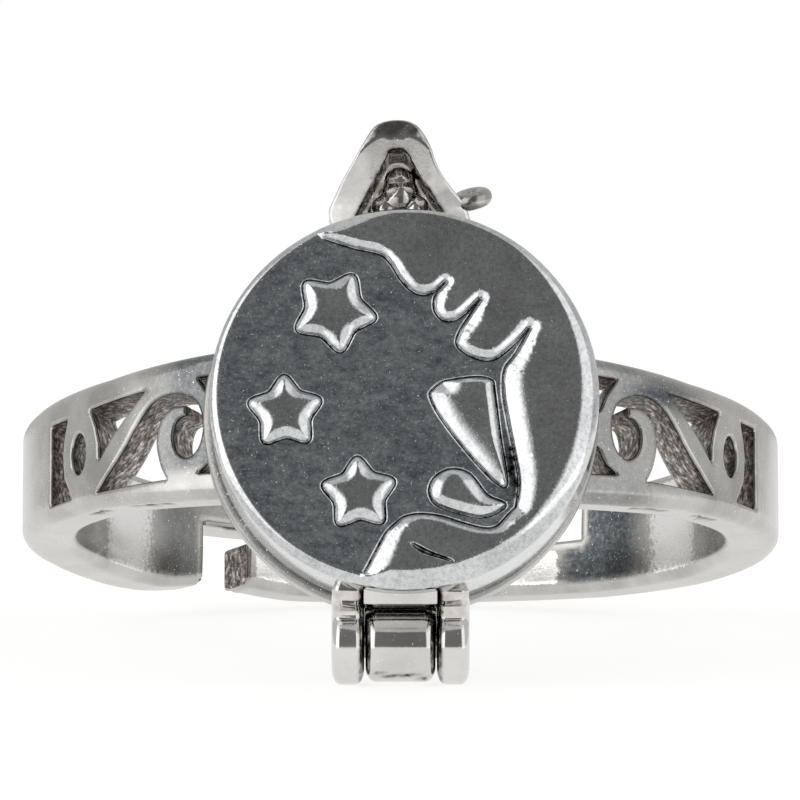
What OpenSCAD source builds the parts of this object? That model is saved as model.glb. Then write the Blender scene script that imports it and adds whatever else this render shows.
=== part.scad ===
// Poison ring: an open, pierced band with a hinged locket box on its front.
// Each solid is drawn with the finger hole upright: X to the right, Y to the back, Z along the
// finger towards the clasp. The whole ring is then leaned back onto its hinge ears and the back of
// its band, which is how it lies on a table.

/* [Band] */
// Radius of the finger hole
finger_r = 9.1; // [8:0.1:10.5]
// Thickness of the band
band_wall = 1.6; // [1.2:0.1:2]
// Turn of the pierced pattern round the finger, in degrees
pattern_turn = 1.2; // [0:0.2:3]
// How far the openings are cut across the band: 0 straight from the front, 1 square to its surface
pierce_turn = 0.5; // [0.3:0.05:1]
// Height of the slit between the two back tongues
slit_h = 0.36; // [0.1:0.02:0.5]
// Height of the middle of that slit above the middle of the band
slit_z = 0.28; // [-0.2:0.01:0.4]
// Azimuth of the end of the upper tongue, in degrees round from the front
upper_tongue_az = 155; // [146:0.1:158]
// Azimuth of the shoulder that the upper tongue points at
right_shoulder_az = 144.9; // [140:0.1:146]
// Azimuth of the end of the lower tongue
lower_tongue_az = 209.2; // [204:0.1:212]
// Azimuth of the shoulder that the lower tongue points at
left_shoulder_az = 218.8; // [216:0.1:224]

/* [Box] */
// Distance from the finger's axis to the joint between the cup and the lid
split_f = 11.3; // [11:0.1:12]
// Depth of the cup behind that joint
cup_depth = 1.05; // [0.8:0.05:1.15]
// Outer radius of the cup
cup_r = 5.36; // [5.2:0.02:5.6]
// Depth of the lid, without its relief
lid_depth = 2.6; // [2:0.05:3.2]
// Outer radius of the lid
lid_r = 5.24; // [5:0.02:5.4]
// Thickness of the lid's side wall
lid_wall = 0.7; // [0.5:0.05:1]
// Thickness of the lid's face
lid_face = 0.5; // [0.4:0.05:0.8]
// Gap between the closed lid and the cup
lid_gap = 0.05; // [0.03:0.01:0.1]
// Sideways place of the lid's centre
lid_x = 0.1; // [0:0.02:0.2]
// Height of the lid's centre
lid_z = -0.06; // [-0.2:0.02:0.2]

/* [Relief] */
// Height of the moon and stars above the face
relief_h = 0.25; // [0.15:0.01:0.35]
// Width of the step round each raised shape
relief_step = 0.08; // [0.05:0.01:0.12]
// Radius out to which the moon is raised
relief_r = 4.85; // [4.6:0.05:4.9]

/* [Hinge] */
// Distance of the hinge axis below the middle of the band
hinge_drop = 6.36; // [6.3:0.02:6.6]
// Radius of the middle knuckle
knuckle_r = 0.99; // [0.8:0.01:1.02]
// Length of the middle knuckle
knuckle_l = 1.84; // [1.5:0.02:2]
// Radius of the two ears
ear_r = 1.06; // [0.9:0.01:1.1]
// Width of each ear
ear_w = 0.86; // [0.7:0.02:1]
// Gap between an ear and the knuckle
ear_gap = 0.08; // [0.05:0.01:0.15]
// Radius of the hinge pin
pin_r = 0.35; // [0.25:0.01:0.45]

/* [Clasp] */
// Distance of the clasp strip's front edge from the finger's axis
strip_front_f = 12.9; // [12.5:0.1:13.2]
// Distance of its rear edge from the finger's axis
strip_rear_f = 10.95; // [10.8:0.05:11.1]
// Radius of the largest lump of the catch
catch_r = 0.54; // [0.4:0.02:0.56]
// Radius of the wire of the small loop
wire_r = 0.2; // [0.15:0.01:0.25]

/* [Hidden] */
$fn = 96;

band_r = finger_r + band_wall;
cup_back_f = split_f - cup_depth;
lid_rear_f = split_f + lid_gap;
face_f = lid_rear_f + lid_depth;
cup_x = 0.01;
cup_z = -0.1;
cup_floor = 0.35;
cup_wall = 0.7;
cup_edge = 0.3;
lid_edge = 0.3;
seat_x = 5.15;
seat_z = 1.8;
seat_root_f = 9;
pin_gap_in_ears = 0.02;
pin_gap_in_knuckle = 0.04;
hinge_flat_z = -hinge_drop + 1.2;
silver = "silver";
dark_silver = "dimgray";

// Half the band's width against its place from front (negative) to back: [y, half width]
band_side = [
    [-band_r - 1, 2.12],
    [-9.45, 2.05],
    [-8.4, 1.95],
    [-6.9, 1.8],
    [-2.8, 1.66],
    [0, 1.64],
    [6.1, 1.56],
    [8.8, 1.45],
    [band_r, 1.28],
    [band_r + 1, 1.19]
];
band_back_half = 1.28;

// Openings of one shoulder: [azimuth in degrees round from the front, height]
slot = [
    [67, 1.05], [61.3, 1.05], [62.4, 0.5], [62.8, 0.05], [62.3, -0.6], [59.9, -1.23], [67, -1.23]
];
corner = [
    [42.5, 1.3], [48.5, 1.22], [54.9, 1.12], [53.4, 0.6], [52.6, 0.1], [52.5, -0.36], [49, 0.3]
];
eye_middle = [57.95, -0.03];
eye_half = [2, 0.57];
scroll_bar = [
    [53, -1.25], [47.2, -0.28], [44.4, 0.32], [41.5, 0.86], [38.5, 1.07], [35.5, 1.05], [33, 0.82], [31.9, 0.4]
];
scroll_eye = [
    [31.9, 0.4], [31.8, -0.05], [32.6, -0.5], [34.4, -0.73], [36.3, -0.55], [37, -0.1], [36.3, 0.32], [34.6, 0.45]
];
scroll_back = [
    [34.6, 0.72], [37.2, 0.73], [39.4, 0.4], [40.2, -0.2], [39.4, -0.85], [38.2, -1.25]
];
upper_gap = [[32.6, 1.45], [30.6, 0.95], [29.5, 0.5], [27, 0.5], [27, 1.5]];
lower_gap = [[32.6, -1.2], [30.6, -0.95], [29.3, -0.5], [27, -0.5], [27, -1.25]];

// Inner edge of the moon from its upper point to its lower one: [across, up]
brow = [
    [-2.02, 4.35], [-1.65, 4.19], [-1.14, 4], [-0.55, 3.86], [-0.25, 3.59],
    [0, 3.18], [0.31, 2.85], [0.63, 2.74], [0.95, 2.85], [1.21, 3.07]
];
upper_curl = [
    [1.21, 3.07], [0.95, 2.74], [0.91, 2.37], [1.06, 2.11], [1.27, 2.02], [1.59, 2.11], [2.16, 2.63]
];
lower_curl = [
    [2.16, 2.63], [1.86, 2.17], [1.59, 1.72], [1.51, 1.41], [1.67, 1.19],
    [1.91, 1.05], [2.27, 0.94], [2.61, 1.02], [3.04, 1.38], [3.48, 1.84]
];
cheek = [
    [3.48, 1.84], [3.12, 1.16], [2.8, 0.72], [2.75, 0.07], [2.88, -0.75], [3.04, -1.57], [3.17, -2.39], [3.09, -3.07]
];
horn = [
    [3.09, -3.07], [2.88, -3.29], [2.58, -3.6], [2.24, -3.66], [1.67, -3.52], [1.11, -3.34], [0.55, -3.27],
    [0.12, -3.34], [-0.12, -3.51], [-0.39, -3.78], [-0.66, -4.27], [-0.92, -4.76], [-1.19, -5.17]
];
// Shapes that stand free inside the moon's edge: [across, up]
nose = [
    [0.87, 0.15], [1.06, 0.31], [1.49, 0.41], [2.09, 0.47], [2.44, 0.38], [2.5, 0.15], [2.66, -1.16],
    [2.84, -2.4], [2.61, -2.44], [2.24, -2.1], [1.59, -1.33], [1.04, -0.57], [0.79, -0.04]
];
leaf = [
    [0.78, -2.56], [0.96, -2.22], [1.38, -2.04], [1.86, -2.18], [2.32, -2.75], [2.8, -2.98],
    [2.61, -3.2], [2.17, -3.36], [1.6, -3.25], [1.11, -3.08], [0.85, -2.88]
];
// A shallow cut in the moon's lower horn: [across, up]
mouth = [[0.25, -4.09], [0.79, -4.25], [1.38, -4.56], [1.38, -4.62], [1.06, -4.58], [0.47, -4.38]];
mouth_depth = 0.12;
// Stars: [across, up, tip radius, angle of one tip]
stars = [[-1.78, 2.28, 1.13, 63], [-3.09, -0.48, 1.04, 92], [-1.11, -2.71, 1.04, 93]];
star_waist = 0.56;
star_round = 0.12;

// Plate between the ears seen from the side: [forward, up]
plate_side = [[12.2, -5], [13.15, -5], [13.15, -5.13], [12.78, -5.5], [12.2, -5.5]];
plate_half = 1.03;

// Clasp strip seen from the front: [across, up]
strip_outer = [
    [1.84, 5.25], [1.7, 5.66], [1.08, 6.35], [0.8, 7.15], [0.52, 7.62], [0.24, 7.8], [-0.08, 7.84],
    [-0.4, 7.8], [-0.68, 7.62], [-0.9, 7.28], [-1.5, 6.2], [-1.94, 5.62], [-1.84, 5.15]
];
strip_inner = [[-1.47, 4.95], [-0.36, 6.85], [-0.2, 7.02], [0.1, 7.02], [0.25, 6.85], [1.45, 4.95]];
strip_foot_z = 4.7;
strip_cup_gap = 0.15;
catch_at = [-0.02, 6.06, 11.2];
catch_root = [-0.02, 5, 10.75];
catch_post_r = 0.35;
// Lumps on the catch: [across, up, forward, radius]
catch_lumps = [
    [-0.02, 6.45, 11.25, 0.35], [-0.4, 5.68, 11.15, 0.32], [0.38, 5.68, 11.15, 0.3],
    [-0.04, 6.75, 10.32, 0.55], [-0.4, 6.25, 10.35, 0.54], [0.36, 6.25, 10.35, 0.54],
    [-0.7, 5.75, 10.37, 0.52], [0.66, 5.75, 10.37, 0.52]
];
loop_at = [1.9, 5.74, 11.7];
loop_r = 0.34;
loop_turn = 20;

// The lean at which the ears and the lower back edge of the band touch one flat surface
contact_rise = hinge_drop - band_back_half;
contact_run = split_f + band_r;
rest_tilt = atan2(contact_rise, contact_run) + asin(ear_r / norm([contact_rise, contact_run]));
rest_lift = band_r * sin(rest_tilt) + band_back_half * cos(rest_tilt);
front_reach = (face_f + relief_h) * cos(rest_tilt) + (relief_r - relief_step - lid_z) * sin(rest_tilt);
back_reach = band_r * cos(rest_tilt) + band_back_half * sin(rest_tilt);
rest_shift = (front_reach - back_reach) / 2;

// A smooth curve through knots, with n points from each knot to the next
function held(p, i) = p[max(0, min(len(p) - 1, i))];
function blend(a, b, c, d, t) =
    0.5 * (2 * b + (c - a) * t + (2 * a - 5 * b + 4 * c - d) * t * t + (3 * b - a - 3 * c + d) * t * t * t);
function smooth(p, n) = [
    for (i = [0:len(p) - 2])
        for (k = [0:n - 1])
            blend(held(p, i - 1), held(p, i), held(p, i + 1), held(p, i + 2), k / n)
];
function star_points(r, first) = [
    for (i = [0:9])
        (i % 2 == 0 ? r : r * star_waist) * [cos(first + 36 * i), sin(first + 36 * i)]
];
function arc(r, from, to, steps) = [
    for (i = [0:steps])
        [r * sin(from + (to - from) * i / steps), -r * cos(from + (to - from) * i / steps)]
];

// Put what is drawn as seen from the front (X across, Y up, Z forward) on the front of the ring
module on_front() {
    rotate([90, 0, 0]) children();
}

// Lean the finished ring onto its ears and the back of its band
module at_rest() {
    translate([0, rest_shift, rest_lift]) rotate([-rest_tilt, 0, 0]) children();
}

// A disc standing on its back, with its front edge rounded
module rounded_disc(r, h, edge) {
    rotate_extrude() {
        square([r - edge, h]);
        square([r, h - edge]);
        translate([r - edge, h - edge]) circle(edge);
    }
}

// A barrel along X with both ends rounded
module barrel(r, w, edge) {
    rotate([0, 90, 0]) rotate_extrude() {
        translate([0, edge - w / 2]) square([r, w - 2 * edge]);
        translate([0, -w / 2]) square([r - edge, w]);
        for (side = [-1, 1])
            translate([r - edge, side * (w / 2 - edge)]) circle(edge);
    }
}

// The space of the band between two azimuths and two heights
module band_sector(from, to, low, high) {
    translate([0, 0, low]) linear_extrude(high - low)
        polygon(concat([[0, 0]], arc(band_r + 2, from, to, 12)));
}

// Cut an outline of [azimuth, height] straight through one shoulder
module pierce(outline) {
    azimuths = [for (p = outline) p[0]];
    cut_az = pierce_turn * (min(azimuths) + max(azimuths)) / 2;
    rotate([0, 0, cut_az]) translate([0, -finger_r / 2, 0]) rotate([90, 0, 0])
        linear_extrude(band_wall + 1 + finger_r / 2)
            polygon([for (p = outline) [band_r * sin(p[0] - cut_az), p[1]]]);
}

// All the openings of one shoulder
module shoulder_openings() {
    pierce(slot);
    pierce(corner);
    pierce([
        for (a = [0:30:330])
            [eye_middle[0] + eye_half[0] * cos(a), eye_middle[1] + eye_half[1] * sin(a)]
    ]);
    pierce(concat(smooth(scroll_bar, 2), smooth(scroll_eye, 2), smooth(scroll_back, 2), [[38.2, -1.25]]));
    pierce(upper_gap);
    pierce(lower_gap);
}

// The Z cut at the back: a slit between the tongues and a gap beyond the end of each
module back_cut() {
    slit_low = slit_z - slit_h / 2;
    slit_high = slit_z + slit_h / 2;
    band_sector(right_shoulder_az, left_shoulder_az, slit_low, slit_high);
    band_sector(right_shoulder_az, upper_tongue_az, slit_low, 3);
    band_sector(lower_tongue_az, left_shoulder_az, -3, slit_high);
}

// Everything above the band's upper edge, seen from the side
module band_trim() {
    rotate([90, 0, 90]) linear_extrude(2 * band_r + 2, center = true)
        polygon(concat(band_side, [[band_r + 1, 5], [-band_r - 1, 5]]));
}

module pierced_band() {
    difference() {
        cylinder(r = band_r, h = 8, center = true);
        band_trim();
        mirror([0, 0, 1]) band_trim();
        back_cut();
        rotate([0, 0, pattern_turn]) {
            shoulder_openings();
            mirror([1, 0, 0]) shoulder_openings();
        }
    }
}

// The shallow cup, flat where the hinge passes under it, with the block that seats it on the band
module cup() {
    difference() {
        translate([cup_x, cup_z, split_f]) mirror([0, 0, 1])
            rounded_disc(cup_r, cup_depth, cup_edge);
        translate([-2.2, hinge_flat_z - 2, cup_back_f - 1]) cube([4.4, 2, cup_depth + 2]);
    }
    translate([-seat_x, -seat_z, seat_root_f])
        cube([2 * seat_x, 2 * seat_z, cup_back_f + 0.1 - seat_root_f]);
}

// The middle knuckle of the hinge and the web that joins it to the cup
module knuckle() {
    translate([0, -hinge_drop, split_f]) barrel(knuckle_r, knuckle_l, 0.25);
    translate([-knuckle_l / 2, -hinge_drop, cup_back_f + 0.1]) cube([knuckle_l, 1.36, cup_depth - 0.15]);
}

// The lumpy knob over which the clasp strip slips, on its short post
module catch() {
    rise = catch_at - catch_root;
    translate(catch_at) sphere(catch_r);
    for (lump = catch_lumps)
        translate([lump[0], lump[1], lump[2]]) sphere(lump[3]);
    translate(catch_root) rotate([-atan2(rise[1], rise[2]), 0, 0]) cylinder(r = catch_post_r, h = norm(rise));
}

module band_and_cup() {
    color(silver) at_rest() difference() {
        union() {
            pierced_band();
            on_front() {
                cup();
                knuckle();
                catch();
            }
        }
        cylinder(r = finger_r, h = 10, center = true);
        on_front() {
            translate([cup_x, cup_z, cup_back_f + cup_floor]) cylinder(r = cup_r - cup_wall, h = cup_depth);
            translate([0, -hinge_drop, split_f]) rotate([0, 90, 0])
                cylinder(r = pin_r + pin_gap_in_knuckle, h = 4, center = true);
        }
    }
}

// The moon's outline: its inner edge, closed far round its right side
module moon() {
    intersection() {
        translate([lid_x, lid_z]) circle(relief_r);
        polygon(concat(
            smooth(brow, 2), smooth(upper_curl, 2), smooth(lower_curl, 2), smooth(cheek, 2), smooth(horn, 2),
            [[-1.3, -7], [7, -7], [7, 7], [-3, 7]]
        ));
    }
}

// The moon, its two inner shapes and the stars as flat outlines
module raised_shapes() {
    moon();
    polygon(nose);
    polygon(leaf);
    for (s = stars)
        translate([s[0], s[1]]) offset(r = star_round, $fn = 12)
            polygon(star_points(s[2] - star_round, s[3]));
}

// The raised shapes in two steps
module relief() {
    translate([0, 0, face_f - 0.1]) linear_extrude(relief_h / 2 + 0.1) raised_shapes();
    translate([0, 0, face_f]) linear_extrude(relief_h) offset(delta = -relief_step) raised_shapes();
}

// The plate that ties the two ears together below the lid, over the knuckle
module ear_plate() {
    translate([-plate_half, 0, 0]) rotate([0, -90, 0]) mirror([0, 0, 1]) linear_extrude(2 * plate_half)
        polygon(plate_side);
}

// One ear of the hinge and the arm that carries it, to the right of the middle
module ear() {
    inner_x = knuckle_l / 2 + ear_gap;
    translate([inner_x + ear_w / 2, -hinge_drop, split_f]) barrel(ear_r, ear_w, 0.25);
    translate([inner_x, 0, 0]) rotate([0, -90, 0]) mirror([0, 0, 1]) linear_extrude(ear_w)
        polygon([
            [split_f + ear_r, -hinge_drop],
            [face_f - 0.9, -hinge_drop + 1.1],
            [face_f - 0.9, -4.85],
            [lid_rear_f, -4.85],
            [lid_rear_f, -hinge_drop]
        ]);
}

// The strip bent to a narrow arch over the catch; behind the joint it keeps clear of the cup
module clasp_strip() {
    difference() {
        translate([0, 0, strip_rear_f]) linear_extrude(strip_front_f - strip_rear_f)
            difference() {
                polygon(concat(strip_outer, [[-1.6, strip_foot_z], [1.6, strip_foot_z]]));
                polygon(strip_inner);
            }
        translate([cup_x, cup_z, 0]) cylinder(r = cup_r + strip_cup_gap, h = lid_rear_f);
    }
}

module wire_loop() {
    translate(loop_at) rotate([0, loop_turn, 0]) rotate_extrude($fn = 48)
        translate([loop_r, 0]) circle(wire_r, $fn = 24);
}

module lid() {
    color(silver) at_rest() on_front() difference() {
        union() {
            translate([lid_x, lid_z, lid_rear_f]) rounded_disc(lid_r, lid_depth, lid_edge);
            relief();
            ear();
            mirror([1, 0, 0]) ear();
            ear_plate();
            clasp_strip();
            wire_loop();
        }
        translate([lid_x, lid_z, lid_rear_f - 1]) cylinder(r = lid_r - lid_wall, h = lid_depth - lid_face + 1);
        translate([-knuckle_l / 2 - ear_gap, hinge_flat_z - 1, lid_rear_f - 1])
            cube([knuckle_l + 2 * ear_gap, 1, 3]);
        translate([0, 0, face_f + relief_h - mouth_depth]) linear_extrude(1) polygon(mouth);
        translate([0, -hinge_drop, split_f]) rotate([0, 90, 0])
            cylinder(r = pin_r + pin_gap_in_ears, h = 6, center = true);
    }
}

module hinge_pin() {
    length = knuckle_l + 2 * (ear_gap + ear_w) - 0.06;
    color(dark_silver) at_rest() on_front()
        translate([0, -hinge_drop, split_f]) rotate([0, 90, 0])
            cylinder(r = pin_r, h = length, center = true);
}

band_and_cup();
lid();
hinge_pin();
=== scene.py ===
import math
from collections import Counter

import bmesh
import bpy
import numpy as np
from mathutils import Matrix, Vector, geometry, noise


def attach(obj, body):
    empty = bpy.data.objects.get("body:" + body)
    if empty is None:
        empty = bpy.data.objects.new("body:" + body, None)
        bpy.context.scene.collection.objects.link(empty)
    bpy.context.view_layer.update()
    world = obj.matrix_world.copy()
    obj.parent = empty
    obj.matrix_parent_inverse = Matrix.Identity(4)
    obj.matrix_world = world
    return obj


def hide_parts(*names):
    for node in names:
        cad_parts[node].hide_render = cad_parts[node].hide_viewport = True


noise.seed_set(5)    # without a seed, vectors of noise differ from run to run
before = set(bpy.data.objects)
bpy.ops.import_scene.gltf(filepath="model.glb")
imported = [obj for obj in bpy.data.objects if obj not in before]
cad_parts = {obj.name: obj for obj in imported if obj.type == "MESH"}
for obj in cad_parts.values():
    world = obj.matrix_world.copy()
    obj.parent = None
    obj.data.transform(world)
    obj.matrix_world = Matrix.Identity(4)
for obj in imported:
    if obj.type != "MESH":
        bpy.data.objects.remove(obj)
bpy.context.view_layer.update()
print("frame loaded:", sorted(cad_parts))

# The ring is drawn upright, in millimetres: X right, Y back, Z along the finger
ring = {
    "fingerR": 9.1,
    "bandR": 10.7,
    "splitF": 11.3,       # from the finger's axis to the joint of the box
    "faceF": 13.95,       # to the ground of the lid's face
    "reliefH": 0.25,
    "reliefReach": 4.77,
    "lidMiddle": (0.10, -0.06),
    "cupMiddle": (0.01, -0.10),
    "hingeDrop": 6.36,
    "earR": 1.06,
    "backHalf": 1.28,
}

# How it lies: leaned back onto the ears of the hinge and the back of the band
contactRise = ring["hingeDrop"] - ring["backHalf"]
contactRun = ring["splitF"] + ring["bandR"]
restTilt = math.atan2(contactRise, contactRun) + math.asin(ring["earR"] / math.hypot(contactRise, contactRun))
tiltCos, tiltSin = math.cos(restTilt), math.sin(restTilt)
restLift = ring["bandR"] * tiltSin + ring["backHalf"] * tiltCos
reliefUp = ring["reliefReach"] - ring["lidMiddle"][1]
frontReach = (ring["faceF"] + ring["reliefH"]) * tiltCos + reliefUp * tiltSin
restShift = (frontReach - ring["bandR"] * tiltCos - ring["backHalf"] * tiltSin) / 2


def atRest(points):    # from the upright ring in mm to the table in metres
    x, y, z = np.asarray(points, float).T
    back, up = y * tiltCos + z * tiltSin + restShift, -y * tiltSin + z * tiltCos + restLift
    return np.column_stack([x, back, up]) / 1000


def fromFront(points):    # across, up, forward to the ring's own X, Y, Z
    p = np.asarray(points, float)
    return np.column_stack([p[:, 0], -p[:, 2], p[:, 1]])


# Colours and nodes

def hexColour(text):
    parts = [int(text[i:i + 2], 16) / 255 for i in (1, 3, 5)]
    return [c / 12.92 if c <= 0.04045 else ((c + 0.055) / 1.055) ** 2.4 for c in parts] + [1.0]


def addNode(tree, kind, inputs=None, stops=None, **fields):    # an input takes a value or another node's output
    node = tree.nodes.new(kind)
    for key, value in fields.items():
        setattr(node, key, value)
    for key, value in (inputs or {}).items():
        if isinstance(value, bpy.types.NodeSocket):
            tree.links.new(value, node.inputs[key])
        else:
            node.inputs[key].default_value = value
    if stops:    # the places and colours of a ramp
        while len(node.color_ramp.elements) < len(stops):
            node.color_ramp.elements.new(0.5)
        for element, (place, colour) in zip(node.color_ramp.elements, stops):
            element.position, element.color = place, hexColour(colour)
    return node


def newFinish(name):
    finish = bpy.data.materials.new(name)
    finish.use_nodes = True
    finish.node_tree.nodes.clear()
    return finish, finish.node_tree


def inMillimetres(tree):    # the ring's own axes in mm, so that patterns follow the piece and not the table
    place = addNode(tree, "ShaderNodeTexCoord").outputs["Object"]
    return addNode(tree, "ShaderNodeMapping", {
        "Vector": place, "Rotation": (restTilt, 0, 0), "Scale": (1000, 1000, 1000)}).outputs["Vector"]


def unevenness(tree, place, perMm, detail, roughness, low, high, least=0, most=1):
    # a pattern of so many features a millimetre, spread so that low to high in it becomes least to most
    field = addNode(tree, "ShaderNodeTexNoise", {
        "Vector": place, "Scale": perMm, "Detail": detail, "Roughness": roughness}).outputs["Fac"]
    return addNode(tree, "ShaderNodeMapRange", {
        "Value": field, "From Min": low, "From Max": high, "To Min": least, "To Max": most}).outputs["Result"]


# Sterling silver, cast and tumbled: a soft grey mirror, whose fine grain breaks reflections into sparks
silverLook = {
    "bright": "#c8c6c2", "dull": "#aeaca7", "patinaAndShade": "#2a2522", "spark": "#ffffff",
    "blotchPerMm": 0.6, "grainPerMm": 14, "grainMm": 0.0025, "roughLow": 0.17, "roughHigh": 0.3,
    "sparkPerMm": 17, "sparkFrom": 0.7, "sparkTo": 0.8, "patinaAndShadePerMm": 2.5,
    "streakPerMm": 2.2, "streakDrawn": 1.8, "specksPerMm": 8, "paintedShadePerMm": 7, "glarePerMm": 9,
}


def castSilver(name, look):
    finish, tree = newFinish(name)
    mm = inMillimetres(tree)
    blotch = addNode(tree, "ShaderNodeTexNoise", {
        "Vector": mm, "Scale": look["blotchPerMm"], "Detail": 4, "Roughness": 0.6}).outputs["Fac"]
    grain = addNode(tree, "ShaderNodeTexNoise", {
        "Vector": mm, "Scale": look["grainPerMm"], "Detail": 2, "Roughness": 0.6}).outputs["Fac"]
    colour = addNode(tree, "ShaderNodeValToRGB", {"Fac": blotch}, [
        (0.35, look["dull"]), (0.65, look["bright"])]).outputs["Color"]
    rough = addNode(tree, "ShaderNodeMapRange", {
        "Value": blotch, "From Min": 0.3, "From Max": 0.7,
        "To Min": look["roughLow"], "To Max": look["roughHigh"]}).outputs["Result"]
    if "groundDark" in look:    # the ground behind the relief keeps its oxide, drawn out into fine level streaks
        ground = addNode(tree, "ShaderNodeAttribute", attribute_name="ground").outputs["Fac"]
        drawn = addNode(tree, "ShaderNodeMapping", {"Vector": mm, "Scale": (1, 1, look["streakDrawn"])})
        streak = addNode(tree, "ShaderNodeTexNoise", {
            "Vector": drawn.outputs["Vector"], "Scale": look["streakPerMm"],
            "Detail": 8, "Roughness": 0.8}).outputs["Fac"]
        dark = addNode(tree, "ShaderNodeValToRGB", {"Fac": streak}, [
            (0.36, look["groundDark"]), (0.64, look["groundLight"])]).outputs["Color"]
        colour = addNode(tree, "ShaderNodeMix", {0: ground, 6: colour, 7: dark}, data_type="RGBA").outputs[2]
    if "mottle" in look:    # fine specks left by polishing
        specks = unevenness(tree, mm, look["specksPerMm"], 3, 0.75, 0.36, 0.56, look["mottle"], 1.08)
        colour = addNode(tree, "ShaderNodeVectorMath", {0: colour, 1: specks}, operation="MULTIPLY").outputs["Vector"]
    if "paintedShade" in look:    # painted shade and dark reflections in slate grey, and painted highlights
        paintedShade = addNode(tree, "ShaderNodeAttribute", attribute_name="paintedShade").outputs["Fac"]
        uneven = unevenness(tree, mm, look["paintedShadePerMm"], 4, 0.75, 0.3, 0.6, 0.7, 1.1)
        paintedShade = addNode(tree, "ShaderNodeMath", {0: paintedShade, 1: uneven}, operation="MULTIPLY", use_clamp=True).outputs[0]
        colour = addNode(tree, "ShaderNodeMix", {
            0: paintedShade, 6: colour, 7: hexColour(look["paintedShade"])}, data_type="RGBA").outputs[2]
        glare = addNode(tree, "ShaderNodeAttribute", attribute_name="paintedGlare").outputs["Fac"]
        ragged = unevenness(tree, mm, look["glarePerMm"], 3, 0.7, 0.3, 0.7, -0.35, 0.35)
        glare = addNode(tree, "ShaderNodeMath", {0: glare, 1: ragged}, operation="ADD").outputs[0]
        glare = addNode(tree, "ShaderNodeMapRange", {"Value": glare, "From Min": 0.35, "From Max": 0.75})
        colour = addNode(tree, "ShaderNodeMix", {
            0: glare.outputs["Result"], 6: colour, 7: hexColour(look["paintedGlare"])}, data_type="RGBA").outputs[2]
    # sparks: single grains that stand rough and catch the light from all round
    spark = unevenness(tree, mm, look["sparkPerMm"], 1, 0.5, look["sparkFrom"], look["sparkTo"])
    rough = addNode(tree, "ShaderNodeMath", {0: spark, 1: 0.4, 2: rough}, operation="MULTIPLY_ADD").outputs[0]
    colour = addNode(tree, "ShaderNodeMix", {
        0: spark, 6: colour, 7: hexColour(look["spark"])}, data_type="RGBA").outputs[2]
    # the last of the old tarnish stays in the hollows, thick and thin, and the same mark paints shade into the
    # hinge's gaps and a dark reflection onto the clasp's crest
    patinaAndShadeMask = addNode(tree, "ShaderNodeAttribute", attribute_name="patinaAndShadeMask").outputs["Fac"]
    patch = unevenness(tree, mm, look["patinaAndShadePerMm"], 5, 0.7, 0.36, 0.62, 0.25, 1.3)
    patinaAndShade = addNode(tree, "ShaderNodeMath", {0: patinaAndShadeMask, 1: patch}, operation="MULTIPLY", use_clamp=True).outputs[0]
    colour = addNode(tree, "ShaderNodeMix", {
        0: patinaAndShade, 6: colour, 7: hexColour(look["patinaAndShade"])}, data_type="RGBA").outputs[2]
    bump = addNode(tree, "ShaderNodeBump", {"Height": grain, "Strength": 1.0, "Distance": look["grainMm"] / 1000})
    surface = addNode(tree, "ShaderNodeBsdfPrincipled", {
        "Metallic": 1.0, "Base Color": colour, "Roughness": rough, "Normal": bump.outputs["Normal"]})
    addNode(tree, "ShaderNodeOutputMaterial", {"Surface": surface.outputs["BSDF"]})
    return finish


# The skin of the casting inside the pierced openings, never polished: dark, brownish and pitted
pitLook = {
    "perMm": 5.5, "deepMm": 0.08, "rough": 0.42,
    "colours": [(0.36, "#2b2522"), (0.48, "#6f6660"), (0.57, "#b3aba5"), (0.66, "#efebe7")],
}


def pittedSilver(name):
    finish, tree = newFinish(name)
    pits = addNode(tree, "ShaderNodeTexNoise", {
        "Vector": inMillimetres(tree), "Scale": pitLook["perMm"], "Detail": 4, "Roughness": 0.7}).outputs["Fac"]
    colour = addNode(tree, "ShaderNodeValToRGB", {"Fac": pits}, pitLook["colours"]).outputs["Color"]
    bump = addNode(tree, "ShaderNodeBump", {"Height": pits, "Strength": 1.0, "Distance": pitLook["deepMm"] / 1000})
    surface = addNode(tree, "ShaderNodeBsdfPrincipled", {
        "Metallic": 1.0, "Roughness": pitLook["rough"], "Base Color": colour, "Normal": bump.outputs["Normal"]})
    addNode(tree, "ShaderNodeOutputMaterial", {"Surface": surface.outputs["BSDF"]})
    return finish


bandSilver = castSilver("tumbledCastSilver", {**silverLook, "paintedShade": "#50565a", "paintedGlare": "#fbfaf8"})
lidSilver = castSilver("oxidisedReliefSilver", {
    **silverLook, "bright": "#d3d4d5", "dull": "#bcbdbe", "patinaAndShade": "#15120f",
    "groundDark": "#8b9398", "groundLight": "#dfe4e7", "roughLow": 0.09, "roughHigh": 0.14,
    "grainMm": 0.0014, "sparkPerMm": 22, "sparkFrom": 0.64, "sparkTo": 0.84, "mottle": 0.8})
# The hinge and the clasp strip, kept bright by fingers
wornSilver = castSilver("wornBrightSilver", {
    **silverLook, "bright": "#dad8d5", "dull": "#cac8c5", "patinaAndShade": "#2a211c",
    "grainMm": 0.0006, "roughLow": 0.08, "roughHigh": 0.15})
cutSilver = pittedSilver("unpolishedCastingSkin")
# Solder, once molten: smooth, bright and wavy, with brown flux left in its creases; the same brown also paints shade
# on the ears' inner sides
solderSilver = castSilver("flowedSilverSolder", {
    **silverLook, "bright": "#dddbd8", "dull": "#bdb7b2", "patinaAndShade": "#33261f", "blotchPerMm": 2.2,
    "grainPerMm": 4, "grainMm": 0.006, "sparkFrom": 0.9, "sparkTo": 0.95, "roughLow": 0.06, "roughHigh": 0.12})
# Wire, drawn bright and then darkened by wear
wireSilver = castSilver("drawnSilverWire", {**silverLook, "bright": "#b5b2ad", "dull": "#8d8984", "roughLow": 0.16})
print("finishes made")


# Making meshes from outlines

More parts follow.
